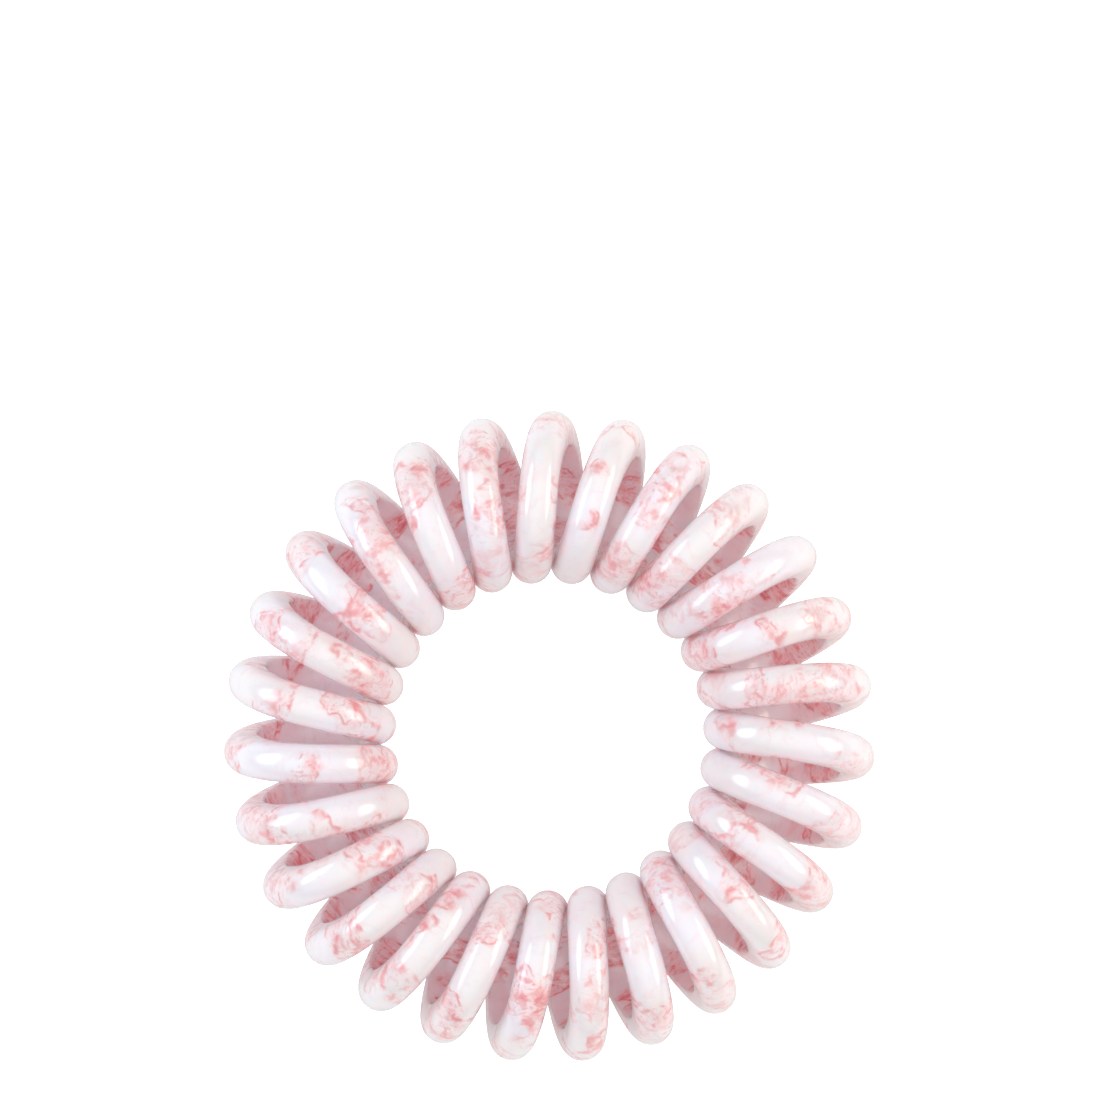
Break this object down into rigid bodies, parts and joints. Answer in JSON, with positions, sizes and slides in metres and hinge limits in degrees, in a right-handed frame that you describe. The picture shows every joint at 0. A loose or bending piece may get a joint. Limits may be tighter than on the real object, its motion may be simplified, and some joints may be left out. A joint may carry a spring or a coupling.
{
  "type": "spiral hair tie",
  "caption": "Spiral hair tie: a marbled plastic strand wound as an open coil and closed into a ring that lies flat and grips a ponytail.",
  "frame": {"origin": "centre of the ring, on the surface that the tie lies on", "axes": "+Z along the ring's axis, up as it lies; +X and +Y in the plane of the ring"},
  "size_m": [0.0449, 0.0449, 0.0119],
  "materials": {
    "strand": "smooth and glossy, white marbled with soft pink veins, slightly translucent"
  },
  "bodies": {
    "root": {"coil": "strand"}
  },
  "joints": []
}
